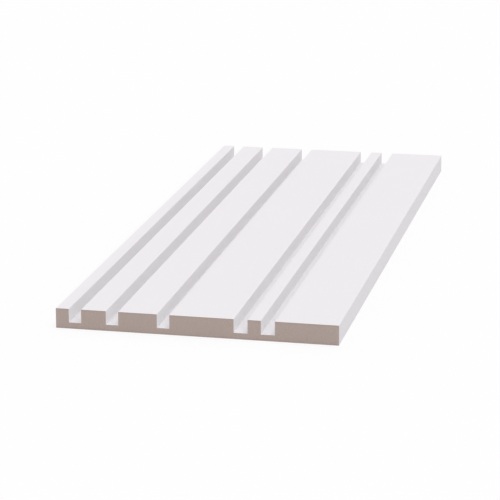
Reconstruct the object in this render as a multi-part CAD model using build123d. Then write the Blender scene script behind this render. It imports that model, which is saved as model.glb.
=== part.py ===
from build123d import *
import os

# Grooved wall panel: one length of fibreboard with square grooves milled along its face.
# The panel lies on its back. X runs across it, Y runs along the grooves and +Z is the face.
# The origin is the middle of the back. All sizes are in millimetres.

# Board
length = 600.0
thickness = 16.0

# Slats, the strips of face left standing, from the left edge to the right edge
left_edge_slat = 10.5
narrow_slat = 20.0
medium_slat = 31.0
broad_slat = 51.0
thin_slat = 10.5
right_edge_slat = 50.0

# Grooves: three from one cutter at the left, two from a wider cutter at the right
slim_groove = 10.0
wide_groove = 11.0
groove_depth = 11.0

# Eased edges, sanded along the top of every slat. The groove floors meet their walls square.
arris_radius = 0.3

# The order of slats and grooves across the panel
slats = (left_edge_slat, narrow_slat, medium_slat, broad_slat, thin_slat, right_edge_slat)
grooves = (slim_groove, slim_groove, slim_groove, wide_groove, wide_groove)
width = sum(slats) + sum(grooves)


def groove_centres():
    """X of the middle of each groove, from the left edge."""
    centres = []
    x = -width / 2
    for slat, groove in zip(slats, grooves):
        centres.append(x + slat + groove / 2)
        x += slat + groove
    return centres


def panel_section():
    """The cross-section at the far end: a board grooved from its face, with the top of each slat eased."""
    far_end = Plane.XZ.offset(-length / 2)
    with BuildSketch(far_end) as section:
        Rectangle(width, thickness, align=(Align.CENTER, Align.MIN))
        for centre, groove in zip(groove_centres(), grooves):
            with Locations((centre, thickness)):
                Rectangle(groove, groove_depth, align=(Align.CENTER, Align.MAX), mode=Mode.SUBTRACT)
        # Corners by height: first those of the back, then of the groove floors, last of the face
        corners = section.vertices().group_by(Axis.Y)
        fillet(corners[-1], arris_radius)
    return section.sketch


def wall_panel():
    """The section run from the far end to the near end, both sawn square."""
    return extrude(panel_section(), amount=length)


os.makedirs("parts", exist_ok=True)
export_step(wall_panel(), "parts/wall_panel.step")
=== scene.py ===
# %% [markdown]
# # A grooved wall panel, finished for the camera
# The real object is one length of fibreboard. Grooves are milled along its face, the face and the
# long edges are sprayed white, and the two ends are sawn and left bare. Its shape is already exact,
# so this lesson leaves its mesh alone. It adds what a drawing of the shape lacks: a coat, bare
# board, the wool of a saw cut, light and a camera.

import math

import bpy
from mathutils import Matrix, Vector


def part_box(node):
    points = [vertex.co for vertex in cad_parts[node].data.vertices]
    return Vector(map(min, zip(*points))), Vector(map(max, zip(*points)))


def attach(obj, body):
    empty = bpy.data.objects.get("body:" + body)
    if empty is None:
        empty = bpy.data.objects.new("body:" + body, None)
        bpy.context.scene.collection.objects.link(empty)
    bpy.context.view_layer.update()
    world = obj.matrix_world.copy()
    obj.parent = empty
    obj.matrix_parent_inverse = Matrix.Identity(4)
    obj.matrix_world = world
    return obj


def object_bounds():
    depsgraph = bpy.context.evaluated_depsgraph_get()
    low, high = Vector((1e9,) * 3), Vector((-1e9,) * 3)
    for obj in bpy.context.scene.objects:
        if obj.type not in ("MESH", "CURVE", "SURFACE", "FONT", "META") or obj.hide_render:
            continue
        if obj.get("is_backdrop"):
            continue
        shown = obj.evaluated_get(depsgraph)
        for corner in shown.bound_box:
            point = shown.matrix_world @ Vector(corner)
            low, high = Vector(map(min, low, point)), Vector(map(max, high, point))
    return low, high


MM = 0.001

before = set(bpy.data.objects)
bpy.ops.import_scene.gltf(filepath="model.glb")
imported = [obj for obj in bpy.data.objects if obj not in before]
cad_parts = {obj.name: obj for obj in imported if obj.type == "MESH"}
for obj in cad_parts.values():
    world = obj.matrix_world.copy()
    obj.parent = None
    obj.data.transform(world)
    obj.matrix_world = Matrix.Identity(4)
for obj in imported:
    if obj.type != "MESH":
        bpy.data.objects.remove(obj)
cad_low, cad_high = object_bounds()
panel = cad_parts["wall_panel"]
panel_low, panel_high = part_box("wall_panel")
panel_size = panel_high - panel_low
print("panel", [round(side / MM, 1) for side in panel_size], "mm")

# %% [markdown]
# ## Camera
# A long lens from a low height keeps the panel's long edges nearly parallel. The camera has no roll,
# so two angles, a place and a focal length describe it. They could be found by eye, but here they
# were worked out by fitting the panel's own edges to those in the picture, which is square and 500
# pixels wide.

# %% Set up the camera
PICTURE_SIDE = 500
SENSOR_WIDTH_MM = 36.0
FOCAL_PIXELS = 2288.4
CAMERA_PLACE = Vector((395.2, -1947.1, 526.9)) * MM
CAMERA_AZIMUTH = math.radians(12.071)
CAMERA_ELEVATION = math.radians(15.118)

scene = bpy.context.scene
scene.view_settings.view_transform = "Standard"
camera_data = bpy.data.cameras.new("camera")
camera_data.sensor_width = SENSOR_WIDTH_MM
camera_data.lens = FOCAL_PIXELS * SENSOR_WIDTH_MM / PICTURE_SIDE
camera = bpy.data.objects.new("camera", camera_data)
camera.location = CAMERA_PLACE
camera.rotation_euler = (math.pi / 2 - CAMERA_ELEVATION, 0.0, CAMERA_AZIMUTH)
scene.collection.objects.link(camera)
scene.camera = camera
print("lens", round(camera_data.lens, 1), "mm")

# %% [markdown]
# ## Tools for the node trees
# Every finish below is a tree of nodes. One function adds a node, sets it up and links it. Another
# turns a colour picked on screen into the linear values that light works in, a third turns a real
# size into the scale of a pattern, and the last starts an empty material. The nodes could be added
# by hand in the editor, but with these functions a tree reads from top to bottom like a recipe.

# %% Nodes, colours and sizes
def put(tree, kind, settings=None, inputs=None):
    """Adds one node. An input's value may be another node's output, which is then linked."""
    node = tree.nodes.new(kind)
    for name, value in (settings or {}).items():
        setattr(node, name, value)
    for socket, value in (inputs or {}).items():
        if isinstance(value, bpy.types.NodeSocket):
            tree.links.new(value, node.inputs[socket])
        else:
            node.inputs[socket].default_value = value
    return node


def linear(code):
    """An sRGB hex colour as linear red, green, blue and alpha."""
    channels = [int(code[i:i + 2], 16) / 255 for i in (0, 2, 4)]
    return (*[c / 12.92 if c <= 0.04045 else ((c + 0.055) / 1.055) ** 2.4 for c in channels], 1.0)


def per_metre(size_mm):
    """The scale at which a pattern's features are about this size."""
    return 1.0 / (size_mm * MM)


def new_material(name):
    """A material with an empty tree."""
    material = bpy.data.materials.new(name)
    material.use_nodes = True
    material.node_tree.nodes.clear()
    return material


# A Mix node has a set of sockets for each type of value. These are the places of the ones for colours.
MIX_A, MIX_B, MIX_RESULT = 6, 7, 2
print("mid grey 808080 is", round(linear("808080")[0], 3), "in linear light")

# %% [markdown]
# ## White coat
# The face, the grooves and the long edges carry a sprayed acrylic coat, sanded matte. A sprayed
# film is not glass-flat: it dries with a faint pebbling about a millimetre across, and its tone
# drifts by a hair over a hand's width. The real pebbles are too shallow to show, so they are drawn
# deeper. The grooves are milled into the softer core of the board, which soaks up more of the coat,
# so it dries duller there. All three could be painted on an unwrapped mesh. Patterns on the panel's
# own coordinates need no unwrapping, and their sizes across are real ones.

# %% Make the white coat
COAT_COLOUR = "F5F5F5"
COAT_DRIFT_COLOUR = "F3F3F3"
COAT_DRIFT_MM = 120.0
COAT_IOR = 1.49
COAT_FACE_ROUGHNESS = 0.5
COAT_GROOVE_ROUGHNESS = 0.6
COAT_DULLING_DEPTH_MM = 2.0
COAT_PEBBLE_MM = 1.2
COAT_PEBBLE_HEIGHT_MM = 0.15
COAT_NOISE_DETAIL = 2.0


def make_white_coat():
    """Acrylic coat, sprayed and sanded matte: an even white with a soft sheen at a low angle."""
    material = new_material("white_acrylic_coat")
    tree = material.node_tree
    place = put(tree, "ShaderNodeTexCoord").outputs["Object"]
    drift = put(tree, "ShaderNodeTexNoise", inputs={
        "Vector": place, "Scale": per_metre(COAT_DRIFT_MM), "Detail": COAT_NOISE_DETAIL})
    colour = put(tree, "ShaderNodeMix", {"data_type": "RGBA"}, {
        "Factor": drift.outputs["Fac"], MIX_A: linear(COAT_COLOUR), MIX_B: linear(COAT_DRIFT_COLOUR)})
    height = put(tree, "ShaderNodeSeparateXYZ", inputs={"Vector": place}).outputs["Z"]
    roughness = put(tree, "ShaderNodeMapRange", inputs={
        "Value": height, "From Min": panel_high.z - COAT_DULLING_DEPTH_MM * MM, "From Max": panel_high.z,
        "To Min": COAT_GROOVE_ROUGHNESS, "To Max": COAT_FACE_ROUGHNESS})
    pebbles = put(tree, "ShaderNodeTexNoise", inputs={
        "Vector": place, "Scale": per_metre(COAT_PEBBLE_MM), "Detail": COAT_NOISE_DETAIL})
    bump = put(tree, "ShaderNodeBump", inputs={
        "Height": pebbles.outputs["Fac"], "Distance": COAT_PEBBLE_HEIGHT_MM * MM})
    coat = put(tree, "ShaderNodeBsdfPrincipled", inputs={
        "Base Color": colour.outputs[MIX_RESULT], "Roughness": roughness.outputs["Result"],
        "IOR": COAT_IOR, "Normal": bump.outputs["Normal"]})
    put(tree, "ShaderNodeOutputMaterial", inputs={"Surface": coat.outputs["BSDF"]})
    return material


white_coat = make_white_coat()
print("made", white_coat.name)

# %% [markdown]
# ## Bare board
# Fibreboard is wood fibre and glue, pressed hot, and its fibres lie flat in the sheet. A saw cut
# shows them as short streaks, and the back, which is only sanded, shows them as soft flecks.
# Pressing leaves the skins denser and darker than the core, and bits of bark make dark specks. A
# picture of board could be wrapped around the panel, but it would repeat and show its seams. Noise
# that is drawn out along the fibres does neither. The two bare finishes share one recipe for
# colour, and they differ in how far the fibres are drawn out each way. A single fibre is too fine to
# show, so the streaks are drawn at the size of small bundles.

# %% Draw the fibres
STREAK_DETAIL = 4.0
STREAK_RAGGEDNESS = 0.6


def fibre_streaks(tree, place, bundle_mm):
    """Noise drawn out to bundles of the given size along X, Y and Z."""
    drawn_out = put(tree, "ShaderNodeMapping", inputs={
        "Vector": place, "Scale": [per_metre(size) for size in bundle_mm]})
    streaks = put(tree, "ShaderNodeTexNoise", inputs={
        "Vector": drawn_out.outputs["Vector"], "Scale": 1.0,
        "Detail": STREAK_DETAIL, "Roughness": STREAK_RAGGEDNESS})
    return streaks.outputs["Fac"]


print("finest streaks are a bundle halved", int(STREAK_DETAIL), "times")

# %% Mix the colour of bare board
BOARD_COLOUR = "C7B8AE"
BOARD_PALE_FIBRE = "D2C4BA"
BOARD_DARK_FIBRE = "B9AA9F"
BOARD_SKIN_COLOUR = "B7A89D"
BOARD_BARK_COLOUR = "9A8A7B"
BOARD_IOR = 1.45
DARK_FROM, PALE_FROM = 0.3, 0.7
SKIN_DEPTH_MM = 2.0
SKIN_SHARE = 0.5
BARK_LENGTH_MM = 2.0
BARK_FROM, BARK_FULL = 0.64, 0.72
BARK_SHARE = 0.35


def board_colour(tree, place, streaks, bundle_mm):
    """Pale and dark fibres, darker towards the pressed skins, with a few specks of bark."""
    fibres = put(tree, "ShaderNodeValToRGB", inputs={"Fac": streaks})
    dark, pale = fibres.color_ramp.elements
    dark.position, dark.color = DARK_FROM, linear(BOARD_DARK_FIBRE)
    pale.position, pale.color = PALE_FROM, linear(BOARD_PALE_FIBRE)
    fibres.color_ramp.elements.new((DARK_FROM + PALE_FROM) / 2).color = linear(BOARD_COLOUR)

    height = put(tree, "ShaderNodeSeparateXYZ", inputs={"Vector": place}).outputs["Z"]
    half = panel_size.z / 2
    above = put(tree, "ShaderNodeMath", {"operation": "SUBTRACT"}, {0: height, 1: half})
    from_middle = put(tree, "ShaderNodeMath", {"operation": "ABSOLUTE"}, {0: above.outputs["Value"]})
    skin = put(tree, "ShaderNodeMapRange", {"interpolation_type": "SMOOTHSTEP"}, {
        "Value": from_middle.outputs["Value"], "From Min": half - SKIN_DEPTH_MM * MM, "From Max": half,
        "To Max": SKIN_SHARE})
    skinned = put(tree, "ShaderNodeMix", {"data_type": "RGBA"}, {
        "Factor": skin.outputs["Result"], MIX_A: fibres.outputs["Color"],
        MIX_B: linear(BOARD_SKIN_COLOUR)})

    bark_mm = [BARK_LENGTH_MM * size / max(bundle_mm) for size in bundle_mm]
    bark = put(tree, "ShaderNodeMapRange", inputs={
        "Value": fibre_streaks(tree, place, bark_mm), "From Min": BARK_FROM, "From Max": BARK_FULL,
        "To Max": BARK_SHARE})
    flecked = put(tree, "ShaderNodeMix", {"data_type": "RGBA"}, {
        "Factor": bark.outputs["Result"], MIX_A: skinned.outputs[MIX_RESULT],
        MIX_B: linear(BOARD_BARK_COLOUR)})
    return flecked.outputs[MIX_RESULT]


print("board", BOARD_COLOUR, "with skins", SKIN_DEPTH_MM, "mm deep")

# %% [markdown]
# ## Sawn ends
# A circular saw leaves its own mark on the ends: on each turn of the blade, the tooth that stands
# out most scores a shallow arc, a step further across the board than the turn before. The scores
# could be modelled one by one, but all the arcs have the blade's radius. The distance across plus
# the arc's own reach is one number that stays the same all along an arc, so a sine of that number
# draws every score at once.

# %% Score the sawn ends
BLADE_RADIUS_MM = 150.0
BLADE_CENTRE_HEIGHT_MM = -60.0
SCORE_PITCH_MM = 1.4


def saw_scores(tree, place):
    """Evenly spaced arcs across an end, one for each turn of the saw blade."""
    axes = put(tree, "ShaderNodeSeparateXYZ", inputs={"Vector": place}).outputs
    rise = put(tree, "ShaderNodeMath", {"operation": "SUBTRACT"}, {
        0: axes["Z"], 1: BLADE_CENTRE_HEIGHT_MM * MM})
    rise_squared = put(tree, "ShaderNodeMath", {"operation": "POWER"}, {0: rise.outputs["Value"], 1: 2.0})
    reach_squared = put(tree, "ShaderNodeMath", {"operation": "SUBTRACT"}, {
        0: (BLADE_RADIUS_MM * MM) ** 2, 1: rise_squared.outputs["Value"]})
    reach = put(tree, "ShaderNodeMath", {"operation": "SQRT"}, {0: reach_squared.outputs["Value"]})
    across = put(tree, "ShaderNodeMath", {"operation": "ADD"}, {0: axes["X"], 1: reach.outputs["Value"]})
    turns = put(tree, "ShaderNodeMath", {"operation": "MULTIPLY"}, {
        0: across.outputs["Value"], 1: 2 * math.pi * per_metre(SCORE_PITCH_MM)})
    scores = put(tree, "ShaderNodeMath", {"operation": "SINE"}, {0: turns.outputs["Value"]})
    return scores.outputs["Value"]


print("scores across an end:", int(panel_size.x / (SCORE_PITCH_MM * MM)))

# %% Make the sawn board
SAWN_BUNDLE_MM = (1.4, 1.0, 0.4)
SAWN_BUNDLE_HEIGHT_MM = 0.05
SCORE_HEIGHT_MM = 0.02
SAWN_ROUGHNESS = 0.9


def make_sawn_board():
    """Raw sawn fibreboard: dull grey-brown, streaked across, with faint arcs left by the saw."""
    material = new_material("sawn_fibreboard")
    tree = material.node_tree
    place = put(tree, "ShaderNodeTexCoord").outputs["Object"]
    streaks = fibre_streaks(tree, place, SAWN_BUNDLE_MM)
    streaked = put(tree, "ShaderNodeBump", inputs={
        "Height": streaks, "Distance": SAWN_BUNDLE_HEIGHT_MM * MM})
    scored = put(tree, "ShaderNodeBump", inputs={
        "Height": saw_scores(tree, place), "Distance": SCORE_HEIGHT_MM * MM,
        "Normal": streaked.outputs["Normal"]})
    board = put(tree, "ShaderNodeBsdfPrincipled", inputs={
        "Base Color": board_colour(tree, place, streaks, SAWN_BUNDLE_MM), "Roughness": SAWN_ROUGHNESS,
        "IOR": BOARD_IOR, "Normal": scored.outputs["Normal"]})
    put(tree, "ShaderNodeOutputMaterial", inputs={"Surface": board.outputs["BSDF"]})
    return material


sawn_board = make_sawn_board()
print("made", sawn_board.name)

# %% [markdown]
# ## Sanded back
# The back is never seen on a wall, so it stays bare. It was sanded to thickness on a wide belt,
# which leaves it smooth, with a slight shine off the dense skin. A new recipe could be written for
# it, but it is the same board, so it shares the colour above, with rounder, shallower flecks.

# %% Make the sanded board
SANDED_BUNDLE_MM = (0.9, 1.3, 1.0)
SANDED_BUNDLE_HEIGHT_MM = 0.01
SANDED_ROUGHNESS = 0.75


def make_sanded_board():
    """Raw fibreboard sanded smooth: the same grey-brown in soft flecks, a little shinier."""
    material = new_material("sanded_fibreboard")
    tree = material.node_tree
    place = put(tree, "ShaderNodeTexCoord").outputs["Object"]
    flecks = fibre_streaks(tree, place, SANDED_BUNDLE_MM)
    bump = put(tree, "ShaderNodeBump", inputs={
        "Height": flecks, "Distance": SANDED_BUNDLE_HEIGHT_MM * MM})
    board = put(tree, "ShaderNodeBsdfPrincipled", inputs={
        "Base Color": board_colour(tree, place, flecks, SANDED_BUNDLE_MM), "Roughness": SANDED_ROUGHNESS,
        "IOR": BOARD_IOR, "Normal": bump.outputs["Normal"]})
    put(tree, "ShaderNodeOutputMaterial", inputs={"Surface": board.outputs["BSDF"]})
    return material


sanded_board = make_sanded_board()
print("made", sanded_board.name)

# %% [markdown]
# ## Dress the panel
# Which finish a face gets depends on which way it points: the sawn ends face along the length, the
# back faces down, and all the rest is coated. The faces could be picked by hand, but their normals
# say it all. Only the material of each face is set, so the shape stays as it was made.

# %% Give each face its finish
COATED, SAWN, SANDED = 0, 1, 2
SQUARE_ON = 0.99


def finish_of(normal):
    """The finish of a face that points this way."""
    if abs(normal.y) > SQUARE_ON:
        return SAWN
    return SANDED if normal.z < -SQUARE_ON else COATED


panel.data.materials.clear()
for finish in (white_coat, sawn_board, sanded_board):
    panel.data.materials.append(finish)
for face in panel.data.polygons:
    face.material_index = finish_of(face.normal)
finishes = [face.material_index for face in panel.data.polygons]
print("faces coated, sawn and sanded:", [finishes.count(finish) for finish in (COATED, SAWN, SANDED)])

# %% [markdown]
# ## Torn fibres
# A saw tears some fibres instead of cutting them, so a raw end is faintly woolly. Up close, that
# wool is what makes sawn board look soft beside the coat. Thousands of fibres are too many to place
# by hand, and a bump has no outline, so Geometry Nodes scatter one small tapered fibre over both
# ends. Each is bent over the way the blade went, with its tip a little off the cut. Near the
# outline they are smaller, and right beside it there are none, so no fibre reaches past the cut. A
# single fibre would not show here either, so each one is as thick as a small bundle.

# %% Make the finish of loose fibres
FIBRE_PALE = "DCCFC4"
FIBRE_DARK = "BDADA1"
FIBRE_TONE_MM = 1.5
FIBRE_ROUGHNESS = 0.8


def make_loose_fibre():
    """Loose wood fibre: dull and straw-like, each one a little paler or darker than its neighbour."""
    material = new_material("loose_wood_fibre")
    tree = material.node_tree
    place = put(tree, "ShaderNodeTexCoord").outputs["Object"]
    tone = put(tree, "ShaderNodeTexNoise", inputs={"Vector": place, "Scale": per_metre(FIBRE_TONE_MM)})
    colour = put(tree, "ShaderNodeMix", {"data_type": "RGBA"}, {
        "Factor": tone.outputs["Fac"], MIX_A: linear(FIBRE_PALE), MIX_B: linear(FIBRE_DARK)})
    fibre = put(tree, "ShaderNodeBsdfPrincipled", inputs={
        "Base Color": colour.outputs[MIX_RESULT], "Roughness": FIBRE_ROUGHNESS, "IOR": BOARD_IOR})
    put(tree, "ShaderNodeOutputMaterial", inputs={"Surface": fibre.outputs["BSDF"]})
    return material


loose_fibre = make_loose_fibre()
print("made", loose_fibre.name)

# %% Find the sawn ends and the room on them
# A Compare node has a set of sockets for each type of value. These are the places of the whole numbers.
WHOLE_A, WHOLE_B = 2, 3
MERGE_MM = 0.001


def sawn_ends(tree, whole):
    """Both ends, known by their finish, with the corners of their loose triangles joined."""
    finish = put(tree, "GeometryNodeInputMaterialIndex").outputs["Material Index"]
    is_sawn = put(tree, "FunctionNodeCompare", {"data_type": "INT", "operation": "EQUAL"}, {
        WHOLE_A: finish, WHOLE_B: SAWN})
    loose = put(tree, "GeometryNodeSeparateGeometry", {"domain": "FACE"}, {
        "Geometry": whole, "Selection": is_sawn.outputs["Result"]})
    joined = put(tree, "GeometryNodeMergeByDistance", inputs={
        "Geometry": loose.outputs["Selection"], "Distance": MERGE_MM * MM})
    return joined.outputs["Geometry"]


def room_on(tree, ends, length):
    """The share of a fibre's length that fits at a point: none on the outline, all of it further in."""
    faces_beside = put(tree, "GeometryNodeInputMeshEdgeNeighbors").outputs["Face Count"]
    is_outline = put(tree, "FunctionNodeCompare", {"data_type": "INT", "operation": "EQUAL"}, {
        WHOLE_A: faces_beside, WHOLE_B: 1})
    outline = put(tree, "GeometryNodeSeparateGeometry", {"domain": "EDGE"}, {
        "Geometry": ends, "Selection": is_outline.outputs["Result"]})
    nearest = put(tree, "GeometryNodeProximity", {"target_element": "EDGES"}, {
        0: outline.outputs["Selection"]})
    room = put(tree, "ShaderNodeMapRange", inputs={
        "Value": nearest.outputs["Distance"], "From Max": length})
    return room.outputs["Result"]


print("ends of", finishes.count(SAWN), "loose triangles")

# %% Shape a fibre, bend it over and vary its size
FIBRE_SIDES = 4
FIBRE_FACES = FIBRE_SIDES + 2
FIBRE_TAPER = 0.4
BENT_OVER_LOW = (0.4, 0.0, -0.35)
BENT_OVER_HIGH = (1.0, 0.0, 0.35)
SMALLEST_FIBRE = (0.7, 0.7, 0.3)
LARGEST_FIBRE = (1.0, 1.0, 0.95)


def one_fibre(tree, length, radius):
    """A thin tapered fibre that stands on its thick end."""
    tip = put(tree, "ShaderNodeMath", {"operation": "MULTIPLY"}, {0: radius, 1: FIBRE_TAPER})
    fibre = put(tree, "GeometryNodeMeshCone", inputs={
        "Vertices": FIBRE_SIDES, "Depth": length,
        "Radius Bottom": radius, "Radius Top": tip.outputs["Value"]})
    return fibre.outputs["Mesh"]


def bent_over(tree, normal, lift, seed):
    """The turn of each fibre: over to +X, more or less, with its tip lifted off the cut."""
    lying = put(tree, "FunctionNodeRandomValue", {"data_type": "FLOAT_VECTOR"}, {
        0: BENT_OVER_LOW, 1: BENT_OVER_HIGH, "Seed": seed})
    off_cut = put(tree, "ShaderNodeVectorMath", {"operation": "SCALE"}, {0: normal, "Scale": lift})
    way = put(tree, "ShaderNodeVectorMath", {"operation": "ADD"}, {
        0: lying.outputs["Value"], 1: off_cut.outputs["Vector"]})
    turn = put(tree, "FunctionNodeAlignRotationToVector", {"axis": "Z"}, {"Vector": way.outputs["Vector"]})
    return turn.outputs["Rotation"]


def fibre_size(tree, room, seed):
    """The scale of each fibre: its own thickness and length, times the room that it has."""
    next_seed = put(tree, "FunctionNodeIntegerMath", {"operation": "ADD"}, {0: seed, 1: 1})
    own = put(tree, "FunctionNodeRandomValue", {"data_type": "FLOAT_VECTOR"}, {
        0: SMALLEST_FIBRE, 1: LARGEST_FIBRE, "Seed": next_seed.outputs["Value"]})
    size = put(tree, "ShaderNodeVectorMath", {"operation": "SCALE"}, {
        0: own.outputs["Value"], "Scale": room})
    return size.outputs["Vector"]


print("a fibre has", FIBRE_FACES, "faces")

# %% Build the tree that scatters the fibres
FIBRE_SOCKETS = {
    "Panel": "NodeSocketGeometry",
    "Density": "NodeSocketFloat",
    "Length": "NodeSocketFloat",
    "Radius": "NodeSocketFloat",
    "Lift": "NodeSocketFloat",
    "Seed": "NodeSocketInt",
    "Finish": "NodeSocketMaterial",
}
LEAST_ROOM = 0.15


def make_fibre_tree():
    """Takes a copy of the panel and gives the torn fibres on its sawn ends."""
    tree = bpy.data.node_groups.new("torn_fibres", "GeometryNodeTree")
    for name, kind in FIBRE_SOCKETS.items():
        tree.interface.new_socket(name, in_out="INPUT", socket_type=kind)
    tree.interface.new_socket("Fibres", in_out="OUTPUT", socket_type="NodeSocketGeometry")
    given = put(tree, "NodeGroupInput").outputs
    ends = sawn_ends(tree, given["Panel"])
    points = put(tree, "GeometryNodeDistributePointsOnFaces", inputs={
        "Mesh": ends, "Density": given["Density"], "Seed": given["Seed"]})
    room = room_on(tree, ends, given["Length"])
    has_room = put(tree, "FunctionNodeCompare", {"operation": "GREATER_THAN"}, {
        "A": room, "B": LEAST_ROOM})
    placed = put(tree, "GeometryNodeInstanceOnPoints", inputs={
        "Points": points.outputs["Points"],
        "Selection": has_room.outputs["Result"],
        "Instance": one_fibre(tree, given["Length"], given["Radius"]),
        "Rotation": bent_over(tree, points.outputs["Normal"], given["Lift"], given["Seed"]),
        "Scale": fibre_size(tree, room, given["Seed"])})
    joined = put(tree, "GeometryNodeRealizeInstances", inputs={"Geometry": placed.outputs["Instances"]})
    dressed = put(tree, "GeometryNodeSetMaterial", inputs={
        "Geometry": joined.outputs["Geometry"], "Material": given["Finish"]})
    put(tree, "NodeGroupOutput", inputs={"Fibres": dressed.outputs["Geometry"]})
    return tree


fibre_tree = make_fibre_tree()
print("tree of", len(fibre_tree.nodes), "nodes")

# %% Scatter the fibres
FIBRES_PER_SQUARE_MM = 0.5
FIBRE_LENGTH_MM = 1.3
FIBRE_RADIUS_MM = 0.045
FIBRE_LIFT = 0.12
FIBRE_SEED = 7
FIBRE_INPUTS = {
    "Density": FIBRES_PER_SQUARE_MM / MM ** 2,
    "Length": FIBRE_LENGTH_MM * MM,
    "Radius": FIBRE_RADIUS_MM * MM,
    "Lift": FIBRE_LIFT,
    "Seed": FIBRE_SEED,
    "Finish": loose_fibre,
}

panel_copy = panel.data.copy()
fibres = bpy.data.objects.new("torn_fibres", panel_copy)
scene.collection.objects.link(fibres)
modifier = fibres.modifiers.new("torn_fibres", "NODES")
modifier.node_group = fibre_tree
for socket in fibre_tree.interface.items_tree:
    if socket.name in FIBRE_INPUTS:
        modifier[socket.identifier] = FIBRE_INPUTS[socket.name]
evaluated = fibres.evaluated_get(bpy.context.evaluated_depsgraph_get())
fibre_mesh = bpy.data.meshes.new_from_object(evaluated)
fibres.modifiers.remove(modifier)
fibres.data = fibre_mesh
bpy.data.meshes.remove(panel_copy)
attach(fibres, "root")
print("fibres", len(fibre_mesh.polygons) // FIBRE_FACES)

# %% [markdown]
# ## Light
# Product light is very even. The world gives most of it, the same from every side. One broad lamp
# high above, a little to the right, makes the face brighter than the edges and reaches down to the
# groove floors. An area lamp would fade with distance. A sun lamp is as strong everywhere, so the
# floor stays even to the horizon, and a wide angle keeps its shadows soft. Together they light the
# face at a level near 1, at which a colour looks about as it was picked. In the picture every white
# has the same trace of violet, in the light and in the shade. A tinted coat would deepen in the
# grooves, where light bounces twice, so the trace belongs to the light and the coat is neutral.

# %% Make the world
WHITE = (1.0, 1.0, 1.0, 1.0)
LIGHT_COLOUR = linear("FFFBFF")
WORLD_LEVEL = 0.76


def seen_plainly(tree):
    """1 on a ray from the camera, straight or by a reflection or glass, and 0 on all other light."""
    path = put(tree, "ShaderNodeLightPath").outputs
    mirrored = put(tree, "ShaderNodeMath", {"operation": "MAXIMUM"}, {
        0: path["Is Camera Ray"], 1: path["Is Glossy Ray"]})
    seen = put(tree, "ShaderNodeMath", {"operation": "MAXIMUM"}, {
        0: mirrored.outputs["Value"], 1: path["Is Transmission Ray"]})
    return seen.outputs["Value"]


def make_world():
    """Even light from every side, and plain white where the camera sees past the floor."""
    world = bpy.data.worlds.new("studio")
    world.use_nodes = True
    tree = world.node_tree
    tree.nodes.clear()
    light = put(tree, "ShaderNodeBackground", inputs={"Color": LIGHT_COLOUR, "Strength": WORLD_LEVEL})
    shown = put(tree, "ShaderNodeBackground", inputs={"Color": WHITE, "Strength": 1.0})
    surface = put(tree, "ShaderNodeMixShader", inputs={
        0: seen_plainly(tree), 1: light.outputs["Background"], 2: shown.outputs["Background"]})
    put(tree, "ShaderNodeOutputWorld", inputs={"Surface": surface.outputs["Shader"]})
    return world


scene.world = make_world()
print("made", scene.world.name)

# %% Hang the lamp
LAMP_LEVEL = 0.185
LAMP_SPREAD = math.radians(25.0)
LAMP_TILT = math.radians(16.0)

lamp_data = bpy.data.lights.new("soft_lamp", "SUN")
lamp_data.angle = LAMP_SPREAD
lamp_data.color = LIGHT_COLOUR[:3]
# A sun lamp of strength pi lights a face that it meets square on at a level of 1.
lamp_data.energy = LAMP_LEVEL * math.pi
lamp = bpy.data.objects.new("soft_lamp", lamp_data)
lamp.rotation_euler = (0.0, LAMP_TILT, 0.0)
scene.collection.objects.link(lamp)
light_on_face = WORLD_LEVEL + LAMP_LEVEL * math.cos(LAMP_TILT)
print("light on the face", round(light_on_face, 3))

# %% [markdown]
# ## Floor
# To the panel the floor is a plain pale grey that returns some light to the edges. To the camera it
# is white. More light on it would burn out the panel too. So a glow makes up what the lit floor
# leaves short of white, and only the panel's own soft shadow shows.

# %% Make the floor's finish
FLOOR_COLOUR = "D9D9D9"
SHADOW_SHARE = 0.25


def make_floor_finish():
    """Matte pale board: grey in the panel's light, white with a faint shadow to the camera."""
    material = new_material("matte_pale_board")
    tree = material.node_tree
    returned = put(tree, "ShaderNodeBsdfDiffuse", inputs={"Color": linear(FLOOR_COLOUR)})
    lit = put(tree, "ShaderNodeBsdfDiffuse", inputs={"Color": [SHADOW_SHARE] * 3 + [1.0]})
    glow = put(tree, "ShaderNodeEmission", inputs={
        "Color": WHITE, "Strength": 1.0 - SHADOW_SHARE * light_on_face})
    shown = put(tree, "ShaderNodeAddShader", inputs={0: glow.outputs["Emission"], 1: lit.outputs["BSDF"]})
    surface = put(tree, "ShaderNodeMixShader", inputs={
        0: seen_plainly(tree), 1: returned.outputs["BSDF"], 2: shown.outputs["Shader"]})
    put(tree, "ShaderNodeOutputMaterial", inputs={"Surface": surface.outputs["Shader"]})
    return material


floor_finish = make_floor_finish()
print("made", floor_finish.name)

# %% Lay the floor
FLOOR_SIDE = 30.0

half_floor = FLOOR_SIDE / 2
floor_corners = [(x * half_floor, y * half_floor, 0.0) for x, y in ((-1, -1), (1, -1), (1, 1), (-1, 1))]
floor_mesh = bpy.data.meshes.new("floor")
floor_mesh.from_pydata(floor_corners, [], [(0, 1, 2, 3)])
floor_mesh.materials.append(floor_finish)
floor = bpy.data.objects.new("floor", floor_mesh)
scene.collection.objects.link(floor)
floor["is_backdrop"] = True
print("floor", FLOOR_SIDE, "m square")

# %% [markdown]
# ## Sizes
# The dressed panel should be as big as the exact one. A render could be looked over for that, but a
# fraction of a millimetre does not show there, so how far the dressed box stands past the exact one is
# printed.

# %% Write the sizes and finish
shown_low, shown_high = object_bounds()
proud = [round((shown - cad) / MM, 2) for cad, shown in zip(cad_high, shown_high)]
print("stands proud by", proud, "mm")
